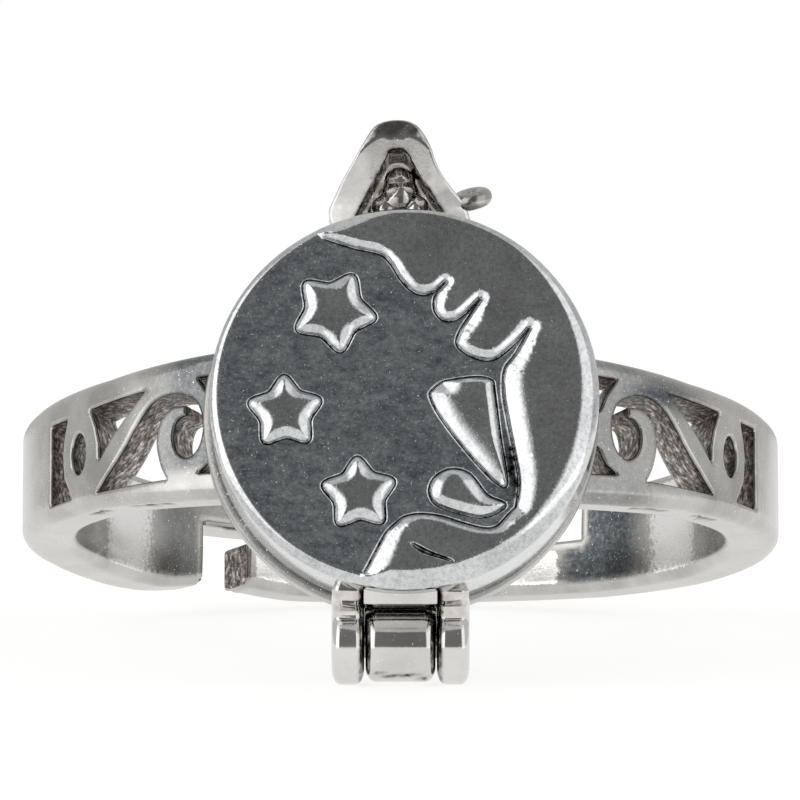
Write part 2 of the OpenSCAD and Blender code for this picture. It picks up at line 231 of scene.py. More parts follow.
def throughKnots(knots, steps):    # a smooth open line through the knots
    p = np.asarray(knots, float)
    made = []
    for i in range(len(p) - 1):
        a, b, c, d = p[max(i - 1, 0)], p[i], p[i + 1], p[min(i + 2, len(p) - 1)]
        for k in range(steps):
            t = k / steps
            made.append(0.5 * (2 * b + (c - a) * t + (2 * a - 5 * b + 4 * c - d) * t * t
                               + (3 * b - a - 3 * c + d) * t ** 3))
    return np.array(made + [p[-1]])


def closedKnots(knots, steps):
    p = [tuple(k) for k in knots]
    line = throughKnots(p[-2:] + p + p[:2], steps)
    return line[2 * steps:-(steps + 1)]


def evenSteps(line, step, closed=True):
    line = np.asarray(line, float)
    ends = np.roll(line, -1, axis=0) if closed else line[1:]
    made = []
    for a, b in zip(line, ends):
        n = max(1, math.ceil(np.hypot(*(b - a)) / step))
        made.append(a + (b - a) * (np.arange(n)[:, None] / n))
    return np.vstack(made + ([] if closed else [line[-1:]]))


def distanceTo(points, line, closed=True):    # to the nearest side of a line, and which side that is
    a = line if closed else line[:-1]
    side = (np.roll(line, -1, axis=0) if closed else line[1:]) - a
    length2 = np.maximum((side ** 2).sum(1), 1e-18)
    far, which = np.empty(len(points)), np.empty(len(points), int)
    for s in range(0, len(points), 3000):
        away = points[s:s + 3000, None, :] - a
        t = np.clip((away * side).sum(2) / length2, 0, 1)
        d = np.linalg.norm(away - t[..., None] * side, axis=2)
        which[s:s + 3000] = d.argmin(1)
        far[s:s + 3000] = d.min(1)
    return far, which


def isInside(points, loop):
    a, b = loop, np.roll(loop, -1, axis=0)
    found = np.zeros(len(points), bool)
    rise = np.where(b[:, 1] == a[:, 1], 1e-12, b[:, 1] - a[:, 1])
    for s in range(0, len(points), 4000):
        x, y = points[s:s + 4000, 0, None], points[s:s + 4000, 1, None]
        crossed = ((a[:, 1] > y) != (b[:, 1] > y)) & (x < (b[:, 0] - a[:, 0]) * (y - a[:, 1]) / rise + a[:, 0])
        found[s:s + 4000] = crossed.sum(1) % 2 == 1
    return found


def rowsBeside(line, offsets, closed):
    if closed:
        ahead = np.roll(line, -1, axis=0) - np.roll(line, 1, axis=0)
    else:
        ahead = np.gradient(line, axis=0)
    across = np.column_stack([-ahead[:, 1], ahead[:, 0]]) / np.maximum(np.hypot(*ahead.T), 1e-9)[:, None]
    return np.vstack([line + across * o for o in offsets]), np.repeat(np.abs(offsets), len(line))


def sheet(edge, holes, lines, grid, gridGap):
    # a flat sheet of triangles. edge and holes are (loop, offsets) and lines are (line, offsets, closed): rows of
    # points stand beside each at its offsets, and a grid fills the rest. Gives points, triangles and where the
    # points of each loop and line are.
    loops = [(*edge, True)] + [(*h, True) for h in holes] + lines
    fixed = np.vstack([line for line, _, _ in loops])
    rows = [rowsBeside(l, np.concatenate([o, -np.asarray(o)]), c) for l, o, c in loops if len(o)]
    extra = np.vstack([r[0] for r in rows])
    need = np.concatenate([r[1] for r in rows]) * 0.85    # how far each has to stay from every line
    low, high = edge[0].min(0), edge[0].max(0)
    gx, gy = np.meshgrid(np.arange(low[0], high[0], grid[0]), np.arange(low[1], high[1], grid[1]))
    gx[1::2] += grid[0] / 2
    gridPoints = np.column_stack([gx.ravel(), gy.ravel()])
    extra = np.vstack([extra, gridPoints])
    need = np.concatenate([need, np.full(len(gridPoints), gridGap)])
    keep = isInside(extra, edge[0])
    for h in holes:
        keep &= ~isInside(extra, h[0])
    extra, need = extra[keep], need[keep]
    for line, _, closed in loops:
        keep = distanceTo(extra, line, closed)[0] >= need
        extra, need = extra[keep], need[keep]
    _, first = np.unique(np.round(extra / 0.012).astype(int), axis=0, return_index=True)    # one of each cluster
    points = np.vstack([fixed, extra[np.sort(first)]])
    sides, starts = [], [0]
    for line, _, closed in loops:
        n, start = len(line), starts[-1]
        sides += [(start + i, start + (i + 1) % n) for i in range(n if closed else n - 1)]
        starts.append(start + n)
    made = geometry.delaunay_2d_cdt([Vector(p) for p in points.tolist()], sides, [], 0, 1e-6)
    out, tris = np.array([tuple(v) for v in made[0]]), np.array(made[2])
    where = {was: new for new, olds in enumerate(made[3]) for was in olds}
    centres = out[tris].mean(1)
    keep = isInside(centres, edge[0])
    for h in holes:
        keep &= ~isInside(centres, h[0])
    tris = tris[keep]
    a, b, c = out[tris[:, 0]], out[tris[:, 1]], out[tris[:, 2]]
    turn = (b[:, 0] - a[:, 0]) * (c[:, 1] - a[:, 1]) - (b[:, 1] - a[:, 1]) * (c[:, 0] - a[:, 0])
    tris[turn < 0] = tris[turn < 0][:, ::-1]
    # where an outline runs straight, triangles without area can hang outside it
    outline = {frozenset((where[i], where[j])) for i, j in sides}
    flat, hangs = np.abs(turn) < 1e-6, True
    while np.any(hangs):
        around = [[frozenset((t[i - 1], t[i])) for i in range(3)] for t in tris.tolist()]
        uses = Counter(e for three in around for e in three)
        hangs = flat & np.array([any(uses[e] == 1 and e not in outline for e in three) for three in around])
        tris, flat = tris[~hangs], flat[~hangs]
    return out, tris, [np.array([where[i] for i in range(*run)]) for run in zip(starts, starts[1:])]


def fade(value, none, full):    # nought at none, one at full, and in step between them
    return np.clip((value - none) / (full - none), 0, 1)


def roundOver(d, r, deep=None):    # how far a rounded edge has dropped at distance d from it
    deep = r if deep is None else deep
    return deep * (1 - np.sqrt(np.maximum(0, 1 - (1 - np.clip(d / r, 0, 1)) ** 2)))


def roundRows(r):
    return [r * (1 - math.cos(math.radians(a))) for a in (16, 34, 52, 70, 90)]


def quadsBetween(rows):    # from each closed row of vertices to the next
    made = []
    for one, two in zip(rows, rows[1:]):
        n = len(one)
        made += [(one[i], one[(i + 1) % n], two[(i + 1) % n], two[i]) for i in range(n)]
    return made


def turnedShape(profile, steps, place):    # profile: (radius, along) pairs; place: from a turned point to its axis
    points, rows = [], []
    for r, along in profile:
        n = steps if r > 1e-6 else 1
        rows.append([len(points) + i % n for i in range(steps)])
        points += [place(r * math.cos(a), r * math.sin(a), along) for a in np.arange(n) * 2 * math.pi / steps]
    return points, [tuple(dict.fromkeys(quad)) for quad in quadsBetween(rows)]


def putInScene(name, data):
    thing = bpy.data.objects.new(name, data)
    bpy.context.scene.collection.objects.link(thing)
    return thing


def settle(piece):    # what the modifiers make of a piece becomes its mesh
    mesh = bpy.data.meshes.new_from_object(piece.evaluated_get(bpy.context.evaluated_depsgraph_get()))
    piece.modifiers.clear()
    mesh.polygons.foreach_set("use_smooth", [True] * len(mesh.polygons))
    piece.data = mesh
    print(f"{piece.name}: {len(mesh.polygons)} faces")
    return mesh


def makePiece(name, points, faces, body, finishes, faceFinish=None, marks=None):
    mesh = bpy.data.meshes.new(name)
    mesh.from_pydata(atRest(points).tolist(), [], [tuple(int(i) for i in f) for f in faces])
    for finish in finishes:
        mesh.materials.append(finish)
    if faceFinish is not None:
        mesh.polygons.foreach_set("material_index", np.asarray(faceFinish, np.int32))
    mesh.polygons.foreach_set("use_smooth", [True] * len(mesh.polygons))
    for key, values in (marks or {}).items():
        mesh.attributes.new(key, "FLOAT", "POINT").data.foreach_set("value", np.asarray(values, np.float32))
    turned = bmesh.new()
    turned.from_mesh(mesh)
    bmesh.ops.recalc_face_normals(turned, faces=turned.faces)
    loose = sum(1 for e in turned.edges if len(e.link_faces) != 2)
    turned.to_mesh(mesh)
    turned.free()
    piece = putInScene(name, mesh)
    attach(piece, body)
    print(f"{name}: {len(points)} points, {len(faces)} faces, {loose} open edges")
    return piece


# The lid: its face is one sheet with the moon and stars raised in it

lid = {
    "faceR": 4.94, "wallR": 5.24, "innerR": 4.54, "rearF": 11.35, "innerF": 13.45, "steps": 540,
    "edgeR": 0.3, "upperEdgeR": 0.22, "moonReach": 0.66, "moonDrop": 0.55, "lowToward": -50, "hornRoll": 0.7,
    "hornAt": 112, "hornWide": 13,    # the rim's roll, in mm and degrees
    "rollShares": (0.12, 0.25, 0.38, 0.52, 0.66, 0.8, 0.92, 1),
    "wallRows": (13.6, 13.5, 13.36, 13.22, 13.19, 13.0, 12.6, 12.2, 11.8, 11.5, 11.4),
    "bulge": 1.9, "broadBulge": 1.4,    # how full a slope of the relief is
    "starSlope": 0.45, "noseSlope": 0.72, "noseSteep": 0.26, "leafSlope": 0.5, "moonWiden": 1.45, "moonLeast": 0.3,
    "grooveDeep": 0.04, "grooveWide": 0.1, "mouthDeep": 0.12, "mouthSlope": 0.06,
    "topSink": 0.09, "sinkFrom": 4.2, "sinkTo": 4.9,    # the disc is a little flattened along its top
    "flatHalf": 0.98, "flatUp": -5.15, "flatFront": 13.2,    # the wall is cut flat over the knuckle
}
# Inner edge of the moon from top to bottom: across, up, width of the slope there
moonEdge = [
    [-2.35, 4.5, 0.35], [-2.02, 4.35, 0.3], [-1.65, 4.19, 0.26], [-1.14, 4.00, 0.24], [-0.55, 3.86, 0.2],
    [-0.25, 3.59, 0.22], [0, 3.18, 0.24], [0.31, 2.85, 0.24], [0.63, 2.74, 0.22], [0.95, 2.85, 0.18],
    [1.21, 3.07, 0.2], [0.95, 2.74, 0.3], [0.91, 2.37, 0.24], [1.06, 2.11, 0.22], [1.27, 2.02, 0.2],
    [1.59, 2.11, 0.18], [2.16, 2.63, 0.2], [1.86, 2.17, 0.38], [1.59, 1.72, 0.34], [1.51, 1.41, 0.28],
    [1.67, 1.19, 0.26], [1.91, 1.05, 0.26], [2.27, 0.94, 0.25], [2.61, 1.02, 0.26], [3.04, 1.38, 0.24],
    [3.48, 1.84, 0.3], [3.12, 1.16, 0.42], [2.80, 0.72, 0.47], [2.75, 0.07, 0.48], [2.88, -0.75, 0.48],
    [3.04, -1.57, 0.47], [3.17, -2.39, 0.44], [3.09, -3.07, 0.42], [2.88, -3.29, 0.3], [2.58, -3.6, 0.25],
    [2.24, -3.66, 0.22], [1.67, -3.52, 0.2], [1.11, -3.34, 0.2], [0.55, -3.27, 0.22], [0.12, -3.34, 0.28],
    [-0.12, -3.51, 0.34], [-0.39, -3.78, 0.42], [-0.66, -4.27, 0.46], [-0.92, -4.76, 0.46], [-1.08, -5.0, 0.46],
]
cusps = {1, 10, 16, 25, 32}    # knots at which the edge turns sharply
nose = [
    [0.87, 0.15], [1.06, 0.31], [1.49, 0.41], [2.09, 0.47], [2.44, 0.38], [2.50, 0.15], [2.66, -1.16],
    [2.84, -2.4], [2.61, -2.44], [2.24, -2.1], [1.59, -1.33], [1.04, -0.57], [0.79, -0.04],
]
leaf = [
    [0.78, -2.56], [0.96, -2.22], [1.38, -2.04], [1.86, -2.18], [2.32, -2.75], [2.80, -2.98],
    [2.61, -3.2], [2.17, -3.36], [1.6, -3.25], [1.11, -3.08], [0.85, -2.88],
]
mouth = [[0.25, -4.09], [0.42, -4.1], [0.8, -4.3], [1.36, -4.52], [1.4, -4.62], [0.95, -4.5], [0.5, -4.34]]
# Stars: across, up, tip radius, angle of one tip
stars = [(-1.78, 2.28, 1.27, 63), (-3.09, -0.48, 1.14, 92), (-1.11, -2.71, 1.14, 93)]
starForm = {"waist": 0.6, "tipRound": 0.42, "waistRound": 0.16}


def starLoop(x, y, r, first):
    corners = [np.array([x, y]) + (r if i % 2 == 0 else r * starForm["waist"])
               * np.array([math.cos(math.radians(first + 36 * i)), math.sin(math.radians(first + 36 * i))])
               for i in range(10)]
    made = []
    for i, corner in enumerate(corners):
        before, after = corners[i - 1] - corner, corners[(i + 1) % 10] - corner
        cut = starForm["tipRound"] if i % 2 == 0 else starForm["waistRound"]
        a, b = corner + before * cut, corner + after * cut
        for t in (0, 0.25, 0.5, 0.75, 1):
            made.append((1 - t) ** 2 * a + 2 * t * (1 - t) * corner + t * t * b)
    return evenSteps(np.array(made), 0.06)


def brokenLine(knots, sharp, steps):    # smooth between the sharp knots
    cuts = [0] + sorted(sharp) + [len(knots) - 1]
    parts = [throughKnots(knots[a:b + 1], steps)[:-1] for a, b in zip(cuts, cuts[1:])]
    return np.vstack(parts + [np.array([knots[-1]])])


middle = np.array(ring["lidMiddle"])
moonLine = brokenLine(np.array(moonEdge), cusps, 4)
moonLine, moonSlope = moonLine[:, :2], moonLine[:, 2]
faceAngles = np.arange(lid["steps"]) * 2 * math.pi / lid["steps"]
faceEdge = middle + lid["faceR"] * np.column_stack([np.cos(faceAngles), np.sin(faceAngles)])
moonLoop = np.vstack([moonLine, [[-1.3, -7], [7, -7], [7, 7], [-3.4, 7]]])
crossing = moonLine[np.hypot(*(moonLine - middle).T) < lid["faceR"] - 0.03]
noseLoop = evenSteps(closedKnots(nose, 4), 0.06)
noseLeft = evenSteps(throughKnots([nose[i] for i in (8, 9, 10, 11, 12, 0, 1)], 4), 0.06, False)
leafLoop = evenSteps(closedKnots(leaf, 4), 0.06)
mouthLoop = evenSteps(closedKnots(mouth, 3), 0.05)
starLoops = [starLoop(*s) for s in stars]
narrow = [0.012, 0.03, 0.06, 0.1, 0.15, 0.2, 0.25, 0.3, 0.36]
wide = narrow + [0.42, 0.48, 0.56, 0.66, 0.78]
lines = [(evenSteps(crossing, 0.06, False), wide, False), (noseLoop, wide[:11], True), (leafLoop, narrow, True),
         (mouthLoop, [0.02, 0.05, 0.09], True)] + [(s, narrow, True) for s in starLoops]
facePoints, faceTris, facePlaces = sheet((faceEdge, [0.03, 0.08, 0.16, 0.26, 0.36]), [], lines, (0.12, 0.1), 0.085)


def pillow(d, slope, tall, bulge=lid["bulge"]):    # the height of a rounded slope at distance d from its foot
    return tall * np.maximum(0, 1 - (1 - np.clip(d / slope, 0, 1)) ** bulge) ** (1 / bulge)


def rimForm(angle, moon):    # how far the rim's roll reaches in and how deep it drops: sharp above, full below
    low = np.clip(np.cos(angle - math.radians(lid["lowToward"])) + 0.25, 0, 1)
    horn = np.exp(-((angle - math.radians(lid["hornAt"])) / math.radians(lid["hornWide"])) ** 2)
    low = np.maximum(low, lid["hornRoll"] * horn)
    small = lid["upperEdgeR"] + (lid["edgeR"] - lid["upperEdgeR"]) * np.clip(0.5 - np.sin(angle), 0, 1)
    return (np.where(moon, small + (lid["moonReach"] - small) * low, small),
            np.where(moon, small + (lid["moonDrop"] - small) * low, small))


def faceHeight(points):    # height above the lid's ground, and the marks for the finish
    tall = ring["reliefH"]
    r = np.hypot(*(points - middle).T)
    inMoon = isInside(points, moonLoop)
    close, side = distanceTo(points, moonLine, False)
    beside = close    # from the moon's edge, and then from the nearest edge of all
    slope = np.maximum(moonSlope[side] * lid["moonWiden"], lid["moonLeast"])
    reach, drop = rimForm(np.arctan2(*(points - middle).T[::-1]), True)
    rolled = np.clip((r - lid["wallR"] + reach) / reach, 0, 1)
    bulge = np.interp(slope, (0.5, 0.7), (lid["bulge"], lid["broadBulge"]))
    moonTop = np.minimum(pillow(beside, slope, tall, bulge), tall - drop * (1 - np.sqrt(1 - rolled ** 2)))
    height = np.where(inMoon, moonTop, 0)
    ground = np.where(inMoon, 0, 1)
    for loop, width in [(noseLoop, 0), (leafLoop, lid["leafSlope"])] + [(s, lid["starSlope"]) for s in starLoops]:
        d, _ = distanceTo(points, loop)
        within = isInside(points, loop)
        if width:
            shape = pillow(d, width, tall)
        else:    # the nose slopes broadly to the left and drops steeply to the right
            leftOf, _ = distanceTo(points, noseLeft, False)
            broad = pillow(leftOf, lid["noseSlope"], tall, lid["broadBulge"])
            shape = np.minimum(broad, pillow(d, lid["noseSteep"], tall))
            pinch = d + beside
        height = np.where(within, np.maximum(height, shape), height)
        ground = np.where(within, 0, ground)
        close = np.minimum(close, d)
    groove = lid["grooveDeep"] * np.clip(1 - close / lid["grooveWide"], 0, 1) ** 2
    raised = np.maximum(height - groove * (height < 0.05), -lid["grooveDeep"])
    height = np.where(ground > 0.5, height - groove, raised)
    d, _ = distanceTo(points, mouthLoop)
    within = isInside(points, mouthLoop)
    height = np.where(within, height - lid["mouthDeep"] * np.clip(d / lid["mouthSlope"], 0, 1), height)
    patinaAndShadeMask = fade(close, 0.0575, 0.0075) * np.where(ground > 0.5, 1, 0.4)
    # and the narrow strip beside the nose's foot
    patinaAndShadeMask = np.maximum(patinaAndShadeMask, (ground > 0.5) * fade(pinch, 0.52, 0.42) * fade(points[:, 1], -0.8, -1.6))
    return np.minimum(height, tall), ground, np.where(within, 0.8, patinaAndShadeMask)


def ringAt(r, f):    # one row of the wall
    made = np.column_stack([middle + r * np.column_stack([np.cos(faceAngles), np.sin(faceAngles)]),
                            np.broadcast_to(f, lid["steps"])])
    flat = (np.abs(made[:, 0]) < lid["flatHalf"]) & (made[:, 2] < lid["flatFront"])
    made[:, 1] = np.where(flat, np.maximum(made[:, 1], lid["flatUp"]), made[:, 1])
    return made


# from the face over the roll of the rim, down the wall and up inside it
edgeInMoon = isInside(faceEdge, moonLoop)
reach, drop = rimForm(faceAngles, edgeInMoon)
begin = np.arcsin(np.clip((lid["faceR"] - lid["wallR"] + reach) / reach, 0, 1))
wallRings = []
for share in lid["rollShares"]:
    turn = begin + (math.pi / 2 - begin) * share
    wallRings.append(ringAt((lid["wallR"] - reach + reach * np.sin(turn))[:, None],
                            ring["faceF"] + ring["reliefH"] * edgeInMoon - drop * (1 - np.cos(turn))))
wallRings += [ringAt(lid["wallR"], f) for f in lid["wallRows"]]
wallR, innerR, rearF, innerF = lid["wallR"], lid["innerR"], lid["rearF"], lid["innerF"]
for r, f in ((wallR - 0.015, rearF + 0.015), (wallR - 0.05, rearF), (innerR + 0.06, rearF),
             (innerR + 0.01, rearF + 0.02), (innerR, rearF + 0.07), (innerR, innerF - 0.25),
             (innerR - 0.04, innerF - 0.1), (innerR - 0.14, innerF - 0.02), (innerR - 0.29, innerF)):
    wallRings.append(ringAt(r, f))
height, ground, patinaAndShadeMask = faceHeight(facePoints)
lidPoints = np.vstack([np.column_stack([facePoints, ring["faceF"] + height]), *wallRings, [[*middle, innerF]]])
pole = len(lidPoints) - 1
rows = [facePlaces[0], *np.arange(len(facePoints), pole).reshape(-1, lid["steps"])]
lidFaces = [tuple(t) for t in faceTris] + quadsBetween(rows)
lidFaces += [(a, b, pole) for a, b in zip(rows[-1], np.roll(rows[-1], -1))]
unmarked = np.zeros(pole - len(facePoints))
outward = np.hypot(*(lidPoints[:, :2] - middle).T)
rise = np.clip((lidPoints[:, 1] - middle[1]) / np.maximum(outward, 1e-6), 0, 1)
lidPoints[:, 1] -= lid["topSink"] * fade(outward, lid["sinkFrom"], lid["sinkTo"]) * rise ** 1.5
lidPiece = makePiece("lid_cover", fromFront(lidPoints), lidFaces, "cover", [lidSilver],
                     marks={"ground": np.concatenate([ground, unmarked, [0]]),
                            "patinaAndShadeMask": np.concatenate([patinaAndShadeMask, unmarked, [0.6]])})
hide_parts("lid")


# The cup behind the joint

cup = {"r": 5.36, "backF": 10.25, "edge": 0.3, "innerR": 4.66, "floorF": 10.6, "steps": 420,
       "flatHalf": 2.2, "flatUp": -5.16, "paintedShade": 0.35}
cupR, edge, innerR, jointF, floorF = cup["r"], cup["edge"], cup["innerR"], ring["splitF"], cup["floorF"]
profile = [(0, cup["backF"]), (2.5, cup["backF"]), (4.9, cup["backF"])]
profile += [(cupR - edge + edge * math.sin(math.radians(a)), cup["backF"] + edge - edge * math.cos(math.radians(a)))
            for a in (0, 18, 36, 54, 72, 90)]
profile += [(cupR, 10.9), (cupR, jointF - 0.1), (cupR - 0.015, jointF - 0.03), (cupR - 0.06, jointF),
            (innerR + 0.06, jointF), (innerR + 0.01, jointF - 0.02), (innerR, jointF - 0.1), (innerR, floorF + 0.15),
            (innerR - 0.04, floorF + 0.05), (innerR - 0.16, floorF), (0, floorF)]
points, faces = turnedShape(profile, cup["steps"],
                            lambda x, up, f: (ring["cupMiddle"][0] + x, ring["cupMiddle"][1] + up, f))
points = np.array(points)
low = np.abs(points[:, 0]) < cup["flatHalf"]
points[:, 1] = np.where(low, np.maximum(points[:, 1], cup["flatUp"]), points[:, 1])
# painted shade: the cup's underside over the knuckle is darkened for the black gap above the hinge, and the whole cup
# is darkened evenly under the lid
tarnishAndGapShade = np.where((np.abs(points[:, 0]) < 1.0) & (points[:, 1] < -5.0) & (points[:, 2] < jointF - 0.01), 1.0, 0.0)
makePiece("cup", fromFront(points), faces, "ring_body", [bandSilver],
          marks={"patinaAndShadeMask": tarnishAndGapShade, "paintedShade": np.full(len(points), cup["paintedShade"])})


# The band: pierced shoulders, and the back cut in a Z

band = {
    "edgeR": 0.4, "innerEdgeR": 0.3, "openR": 0.1, "cutR": 0.12, "crown": 0.03,
    "frontF": 10.45,    # it ends inside the cup's floor
    "patternTurn": 1.2, "cutShare": 0.5, "slitLow": 0.10, "slitHigh": 0.46,
    "upperTongue": -205, "rightShoulder": 144.9, "lowerTongue": 209.2, "leftShoulder": -141.2,    # azimuths
    "lowerNarrow": 0.2, "upperNarrow": 0.12, "leftLift": 0.12,
}
# half the width at each place from front to back
bandSide = [(-11.7, 2.12), (-9.45, 2.05), (-8.4, 1.95), (-6.9, 1.8), (-2.8, 1.66), (0, 1.64), (6.1, 1.56),
            (8.8, 1.45), (10.7, 1.28), (11.7, 1.19)]
slot = [(67, 1.05), (61.3, 1.05), (62.4, 0.5), (62.8, 0.05), (62.3, -0.6), (59.9, -1.23), (67, -1.23)]
corner = [(42.5, 1.3), (48.5, 1.22), (54.9, 1.12), (53.4, 0.6), (52.6, 0.1), (52.5, -0.36), (49, 0.3)]
eye = [(57.95 + 2 * math.cos(math.radians(a)), -0.03 + 0.57 * math.sin(math.radians(a))) for a in range(0, 360, 15)]
scrollBar = [(53, -1.25), (47.2, -0.28), (44.4, 0.32), (41.5, 0.86), (38.5, 1.07), (35.5, 1.05), (33, 0.82),
             (31.9, 0.4)]
scrollEye = [(31.9, 0.4), (31.8, -0.05), (32.6, -0.5), (34.4, -0.73), (36.3, -0.55), (37, -0.1), (36.3, 0.32),
             (34.6, 0.45)]
scrollBack = [(34.6, 0.72), (37.2, 0.73), (39.4, 0.4), (40.2, -0.2), (39.4, -0.85), (38.2, -1.25)]
scroll = np.vstack([throughKnots(scrollBar, 4)[:-1], throughKnots(scrollEye, 4), throughKnots(scrollBack, 4)])
upperGap = [(32.6, 1.45), (30.6, 0.95), (29.5, 0.5), (27, 0.5), (27, 1.5)]
lowerGap = [(32.6, -1.2), (30.6, -0.95), (29.3, -0.5), (27, -0.5), (27, -1.25)]


def halfWidth(azimuth):
    y = -ring["bandR"] * np.cos(np.radians(azimuth))
    return np.interp(y, [s[0] for s in bandSide], [s[1] for s in bandSide])


def softCorner(corner, before, after, share):
    corner, before, after = (np.array(p, float) for p in (corner, before, after))
    a, b = corner + (before - corner) * share[0], corner + (after - corner) * share[1]
    return [(1 - t) ** 2 * a + 2 * t * (1 - t) * corner + t * t * b for t in (0, 0.2, 0.4, 0.6, 0.8, 1)]


def bandEdge(r):    # the unrolled band as one loop, corner by corner, at radius r
    leftA, rightA, upperA, lowerA = (band[k] for k in ("leftShoulder", "rightShoulder", "upperTongue", "lowerTongue"))
    slitLow, slitHigh = band["slitLow"], band["slitHigh"]
    lowerEdge = [(a, -halfWidth(a) + band["lowerNarrow"] * np.clip((a - lowerA + 12) / 10, 0, 1) ** 1.5
                  + band["upperNarrow"] * np.clip((leftA + 9 - a) / 7, 0, 1) ** 1.5)
                 for a in np.arange(leftA + 2, lowerA - 2, 1.0)]
    upperEdge = [(a, halfWidth(a)) for a in np.arange(rightA - 2, upperA + 2, -1.0)]
    leftW, lowerW = halfWidth(leftA) - band["upperNarrow"], halfWidth(lowerA) - band["lowerNarrow"]
    upperW, rightW = halfWidth(upperA), halfWidth(rightA)
    made = softCorner((leftA, -leftW), (leftA, 0), (leftA + 2, -leftW), (0.2, 0.9))
    made += lowerEdge
    made += softCorner((lowerA, -lowerW), (lowerA - 2, -lowerW), (lowerA, 0), (0.9, 0.22))
    made += softCorner((lowerA, slitLow), (lowerA, -1), (lowerA - 2, slitLow), (0.15, 0.4))
    made += [(rightA, slitLow)]
    made += softCorner((rightA, rightW), (rightA, 0), (rightA - 2, rightW), (0.2, 0.9))
    made += upperEdge
    made += softCorner((upperA, upperW), (upperA + 2, upperW), (upperA, 0), (0.9, 0.22))
    made += softCorner((upperA, slitHigh), (upperA, 1), (upperA + 2, slitHigh), (0.15, 0.4))
    made += [(leftA, slitHigh)]
    loop = np.array(made, float)
    # the left shoulder is bent up a little
    bent = fade(loop[:, 0], -15, -27) * fade(loop[:, 0], -128, -108)
    return np.column_stack([loop[:, 0] * (math.radians(1) * r), loop[:, 1] + band["leftLift"] * bent])


def openings(r):    # each one at radius r: cut straight in, half way between the front and square to the band
    made = []
    for outline in (slot, corner, eye, scroll, upperGap, lowerGap):
        outline = evenSteps(np.array(outline, float) * [math.radians(1) * ring["bandR"], 1], 0.09)
        azimuth = outline[:, 0] / ring["bandR"]
        cut = band["cutShare"] * (azimuth.min() + azimuth.max()) / 2
        azimuth = cut + np.arcsin(np.sin(azimuth - cut) * ring["bandR"] / r)
        for mirrored in (1, -1):
            across = (mirrored * azimuth + math.radians(band["patternTurn"])) * r
            made.append(np.column_stack([across, outline[:, 1]]))
    return made


# Cold laps in the casting on the underside of its shoulders: azimuth, share of the thickness, run of azimuth
laps = [(-58, 0.3, 5.5), (-46.5, 0.24, 8.6), (38.5, 0.26, 8.2), (53.7, 0.36, 6)]


def lapDepth(azimuth, share):    # how deep the laps cut, at a share of the way from outside to inside
    found = 0
    for first, depth, run in laps:
        along = fade(azimuth, first, first + run)
        centre = depth + 0.06 * np.sin(9 * along + first)
        wide = 0.13 + 0.05 * np.sin(14 * along + 2 * first)
        found = np.maximum(found, np.sin(math.pi * along) ** 0.4 * np.exp(-((share - centre) / wide) ** 2))
    return found


def bandSkin(r, inward, edgeR):
    # the loop is stepped at the outer radius, so that both skins have the same points along it
    steps = evenSteps(bandEdge(ring["bandR"]), 0.13)
    edge = np.column_stack([steps[:, 0] * r / ring["bandR"], steps[:, 1]])
    holes = openings(r)
    points, tris, places = sheet((edge, roundRows(edgeR)), [(h, [0.01, 0.03, 0.06, 0.1, 0.16]) for h in holes],
                                 [], (0.26, 0.22), 0.15)
    rail = np.abs(np.abs(edge[:, 1]) - halfWidth(np.degrees(edge[:, 0] / r))) < 0.32
    nearAny, side = distanceTo(points, edge)
    onRail = rail[side] & rail[(side + 1) % len(edge)]
    drop = np.where(onRail, roundOver(nearAny, edgeR), roundOver(nearAny, band["cutR"]))
    # darker along the cut ends and round the openings
    edgeDark = np.where(onRail, 0, np.exp(-(nearAny / 0.1) ** 2) * 0.3)
    for h in holes:
        d, _ = distanceTo(points, h)
        drop = np.maximum(drop, roundOver(d, band["openR"]))
        edgeDark = np.maximum(edgeDark, 0.4 * np.exp(-(d / 0.06) ** 2))
    radius = r - drop if inward else r + drop + band["crown"] * points[:, 1] ** 2
    azimuth = points[:, 0] / r
    turn = np.degrees(azimuth)
    paintedGlare = np.zeros(len(points))
    if inward:    # painted shade and dark reflection: darker beside the box, and along the top of the right shoulder
        left = fade(turn, -43, -34) * fade(points[:, 1], -1.3, -0.9)
        paintedShade = np.where(turn < 0, 0.8 * left, 0.5 * fade(turn, 44, 36))
        patch = np.exp(-((turn - 41) / 9) ** 2 - ((points[:, 1] - 1.2) / 0.45) ** 2)
        paintedShade = np.maximum(paintedShade, patch)
    else:    # painted shade on the tongues beside their slit, and painted highlights next to that
        paintedShade = fade(np.abs(turn), 128, 134) * np.where(turn < 0, 0.55, 0.95 * fade(turn, 152, 147))
        paintedGlare = np.exp(-((np.abs(turn) - 120) / 8) ** 4) + (turn > 150)
        offEdge = fade(nearAny, 0.2, 0.32)
        paintedShade, paintedGlare = paintedShade * offEdge, paintedGlare * offEdge
    placed = np.column_stack([radius * np.sin(azimuth), -radius * np.cos(azimuth), points[:, 1]])
    placed[:, 1] = np.maximum(placed[:, 1], -band["frontF"])
    ahead = np.roll(edge, -1, axis=0) - edge
    plainSide = rail & np.roll(rail, -1) | (np.abs(ahead[:, 0]) > np.abs(ahead[:, 1]))
    return placed, tris, places, plainSide, {"patinaAndShadeMask": edgeDark, "paintedShade": paintedShade, "paintedGlare": paintedGlare}


